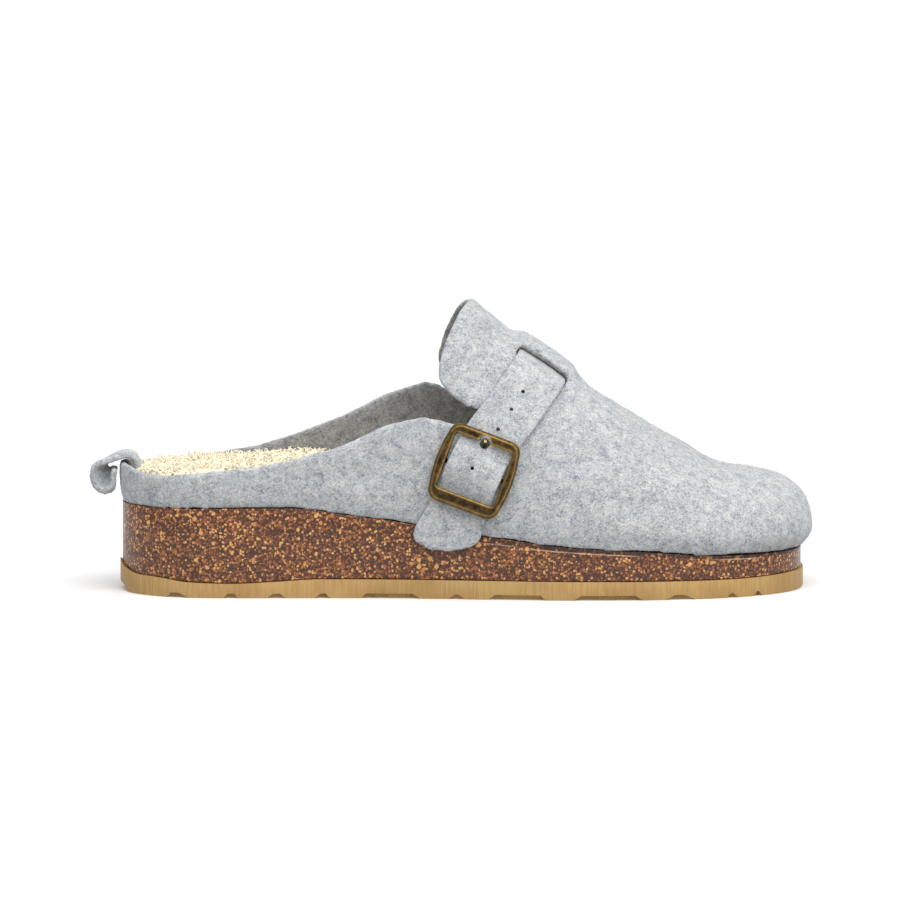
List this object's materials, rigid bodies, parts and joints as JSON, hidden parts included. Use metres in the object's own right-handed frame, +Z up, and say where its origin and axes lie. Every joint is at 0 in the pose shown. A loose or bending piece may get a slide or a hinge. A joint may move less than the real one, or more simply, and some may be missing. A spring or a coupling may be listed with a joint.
{
  "type": "clog slipper",
  "caption": "Closed-toe wool felt clog on a cork footbed and tan rubber sole, with a buckled felt strap and a fleece insole.",
  "frame": {"origin": "middle of the clog's footprint, on the floor", "axes": "+X towards the toe, +Y towards the inner side of the foot, +Z up"},
  "size_m": [0.2776, 0.1022, 0.1112],
  "materials": {
    "felt": "heathered light grey wool felt, matt and hairy",
    "strap_felt": "light grey wool felt with cut edges",
    "cork": "pressed cork granules under a thin clear varnish",
    "rubber": "tan sole rubber, satin with fine upright scoring",
    "fleece": "cream curled wool fleece",
    "brass": "antiqued, dark with bright rubbed edges"
  },
  "bodies": {
    "root": {"outsole": "rubber", "midsole": "cork", "insole": "fleece", "upper": "felt", "strap": "strap_felt", "buckle_frame": "brass", "buckle_prong": "brass", "buckle_tab": "strap_felt", "pull_loop": "strap_felt"}
  },
  "joints": []
}
